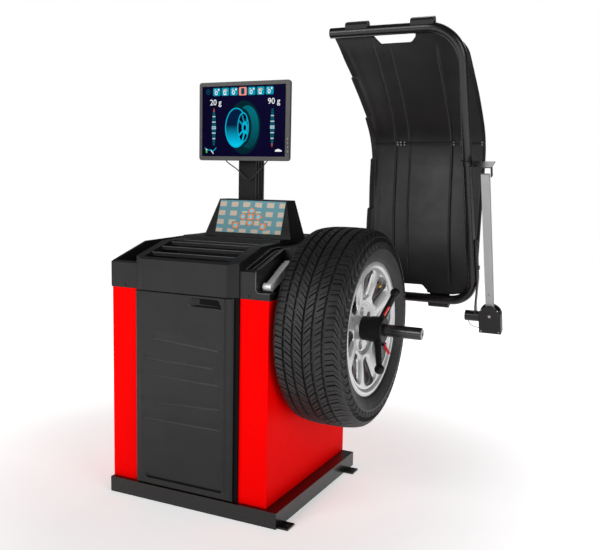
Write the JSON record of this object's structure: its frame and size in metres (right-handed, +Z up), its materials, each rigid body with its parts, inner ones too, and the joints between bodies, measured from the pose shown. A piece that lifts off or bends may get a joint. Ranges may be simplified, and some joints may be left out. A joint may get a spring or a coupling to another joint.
{
  "type": "wheel balancer",
  "caption": "Car wheel balancer with a spindle and quick nut holding a wheel, weight tray, keypad, monitor on a column, swinging wheel guard and width gauge.",
  "frame": {"origin": "on the floor under the middle of the base frame", "axes": "+X along the spindle away from the cabinet, -Y the operator's side, +Z up"},
  "size_m": [1.186, 0.8181, 1.5962],
  "materials": {
    "black_paint": "satin",
    "red_paint": "gloss",
    "grey_paint": "satin",
    "black_moulding": "matte",
    "grey_moulding": "matte",
    "keypad_film": "satin",
    "key_orange": "satin",
    "red_plastic": "satin",
    "screen_glass": "gloss",
    "ground_steel": "ground",
    "black_steel": "satin",
    "zinc_steel": "satin",
    "spring_steel": "satin",
    "cast_alloy": "cast",
    "wheel_alloy": "satin",
    "motor_iron": "matte",
    "tyre_rubber": "matte",
    "black_rubber": "matte",
    "board_green": "matte"
  },
  "bodies": {
    "cabinet": {"base_frame": "black_paint", "cabinet_shell": "red_paint", "rear_panel": "red_paint", "front_cover": "black_moulding", "tray": "black_moulding", "panel_screws": "black_paint", "keypad_housing": "black_moulding", "keypad_membrane": "keypad_film", "monitor_column": "black_paint", "monitor_bracket": "black_paint", "monitor_back": "black_moulding", "monitor_bezel": "black_moulding", "screen_panel": "screen_glass", "monitor_cable": "black_rubber", "bearing_housing": "grey_paint", "spindle_bearings": "ground_steel", "support_bracket": "grey_paint", "piezo_sensors": "zinc_steel", "drive_motor": "motor_iron", "drive_belt": "black_rubber", "hood_bearing_block": "black_paint", "hood_spring": "spring_steel", "power_inlet": "black_moulding", "power_board": "board_green"},
    "spindle": {"spindle_shaft": "black_steel", "spindle_pulley": "cast_alloy", "wheel_flange": "ground_steel", "cone_spring": "spring_steel", "centring_cone": "ground_steel", "wheel_rim": "wheel_alloy", "tyre": "tyre_rubber", "valve_stem": "black_rubber"},
    "motor_rotor": {"motor_pulley": "ground_steel"},
    "cup": {"pressure_cup": "black_moulding"},
    "nut": {"quick_nut": "black_moulding"},
    "trigger_a": {"release_trigger_a": "red_plastic"},
    "trigger_b": {"release_trigger_b": "red_plastic"},
    "guard": {"hood_frame": "black_paint", "hood_shell_lower": "black_moulding", "hood_shell_upper": "black_moulding", "hood_clamps": "black_moulding", "gauge_mount": "black_paint", "gauge_housing": "black_moulding", "parking_bracket": "black_paint", "gauge_cable": "black_rubber"},
    "width_arm": {"gauge_arm": "wheel_alloy"},
    "rod": {"distance_rod": "ground_steel"},
    "rod_handle": {"distance_handle": "cast_alloy"},
    "rocker": {"power_switch": "red_plastic"},
    "key_up": {"key_up": "key_orange"},
    "key_left": {"key_left": "key_orange"},
    "key_enter": {"key_enter": "key_orange"},
    "key_right": {"key_right": "key_orange"},
    "key_down": {"key_down": "key_orange"},
    "key_stop": {"key_stop": "key_orange"},
    "key_start": {"key_start": "key_orange"},
    "monitor_button_1": {"monitor_button_1": "grey_moulding"},
    "monitor_button_2": {"monitor_button_2": "grey_moulding"},
    "monitor_button_3": {"monitor_button_3": "grey_moulding"},
    "monitor_button_4": {"monitor_button_4": "grey_moulding"}
  },
  "joints": [
    {"name": "spindle_spin", "type": "hinge", "parent": "cabinet", "child": "spindle", "pos_m": [0.3, 0, 0.598], "axis": [1, 0, 0], "continuous": true},
    {"name": "motor_pulley_spin", "type": "hinge", "parent": "cabinet", "child": "motor_rotor", "pos_m": [-0.035, 0, 0.3], "axis": [1, 0, 0], "continuous": true},
    {"name": "cup_slide", "type": "slide", "parent": "spindle", "child": "cup", "axis": [1, 0, 0], "range_m": [0, 0.1]},
    {"name": "nut_turn", "type": "hinge", "parent": "cup", "child": "nut", "pos_m": [0.52, 0, 0.598], "axis": [1, 0, 0], "continuous": true},
    {"name": "trigger_a_squeeze", "type": "hinge", "parent": "nut", "child": "trigger_a", "pos_m": [0.537, -0.00481, 0.64375], "axis": [0, 0.9945, 0.1045], "range_deg": [-12, 0], "stiffness_Nm_per_rad": 0.05, "springref_deg": 11.46},
    {"name": "trigger_b_squeeze", "type": "hinge", "parent": "nut", "child": "trigger_b", "pos_m": [0.537, 0.00481, 0.55225], "axis": [0, -0.9945, -0.1045], "range_deg": [-12, 0], "stiffness_Nm_per_rad": 0.05, "springref_deg": 11.46},
    {"name": "guard_swing", "type": "hinge", "parent": "cabinet", "child": "guard", "pos_m": [0.15, 0.44, 0.6476], "axis": [1, 0, 0], "range_deg": [0, 50], "stiffness_Nm_per_rad": 35, "springref_deg": -38.96},
    {"name": "width_arm_swing", "type": "hinge", "parent": "guard", "child": "width_arm", "pos_m": [0.791, 0.40502, 0.61235], "axis": [0, -0.9385, -0.3453], "range_deg": [0, 28]},
    {"name": "rod_slide", "type": "slide", "parent": "cabinet", "child": "rod", "axis": [1, 0, 0], "range_m": [0, 0.012]},
    {"name": "handle_lift", "type": "hinge", "parent": "rod", "child": "rod_handle", "pos_m": [0.256, -0.135, 0.8], "axis": [1, 0, 0], "range_deg": [-70, 0]},
    {"name": "key_up_press", "type": "slide", "parent": "cabinet", "child": "key_up", "axis": [0, 0.9494, -0.314], "range_m": [0, 0.0008], "stiffness_N_per_m": 600, "springref_m": -0.0005},
    {"name": "key_left_press", "type": "slide", "parent": "cabinet", "child": "key_left", "axis": [0, 0.9494, -0.314], "range_m": [0, 0.0008], "stiffness_N_per_m": 600, "springref_m": -0.0005},
    {"name": "key_enter_press", "type": "slide", "parent": "cabinet", "child": "key_enter", "axis": [0, 0.9494, -0.314], "range_m": [0, 0.0008], "stiffness_N_per_m": 600, "springref_m": -0.0005},
    {"name": "key_right_press", "type": "slide", "parent": "cabinet", "child": "key_right", "axis": [0, 0.9494, -0.314], "range_m": [0, 0.0008], "stiffness_N_per_m": 600, "springref_m": -0.0005},
    {"name": "key_down_press", "type": "slide", "parent": "cabinet", "child": "key_down", "axis": [0, 0.9494, -0.314], "range_m": [0, 0.0008], "stiffness_N_per_m": 600, "springref_m": -0.0005},
    {"name": "key_stop_press", "type": "slide", "parent": "cabinet", "child": "key_stop", "axis": [0, 0.9494, -0.314], "range_m": [0, 0.0008], "stiffness_N_per_m": 600, "springref_m": -0.0005},
    {"name": "key_start_press", "type": "slide", "parent": "cabinet", "child": "key_start", "axis": [0, 0.9494, -0.314], "range_m": [0, 0.0008], "stiffness_N_per_m": 600, "springref_m": -0.0005},
    {"name": "monitor_button_1_press", "type": "slide", "parent": "cabinet", "child": "monitor_button_1", "axis": [0, 1, 0], "range_m": [0, 0.0008], "stiffness_N_per_m": 400, "springref_m": -0.0005},
    {"name": "monitor_button_2_press", "type": "slide", "parent": "cabinet", "child": "monitor_button_2", "axis": [0, 1, 0], "range_m": [0, 0.0008], "stiffness_N_per_m": 400, "springref_m": -0.0005},
    {"name": "monitor_button_3_press", "type": "slide", "parent": "cabinet", "child": "monitor_button_3", "axis": [0, 1, 0], "range_m": [0, 0.0008], "stiffness_N_per_m": 400, "springref_m": -0.0005},
    {"name": "monitor_button_4_press", "type": "slide", "parent": "cabinet", "child": "monitor_button_4", "axis": [0, 1, 0], "range_m": [0, 0.0008], "stiffness_N_per_m": 400, "springref_m": -0.0005},
    {"name": "power_rocker", "type": "hinge", "parent": "cabinet", "child": "rocker", "pos_m": [-0.19, 0.312, 0.15], "axis": [1, 0, 0], "range_deg": [0, 14]}
  ],
  "couplings": [
    {"joint": "motor_pulley_spin", "follows": "spindle_spin", "ratio": 3}
  ]
}
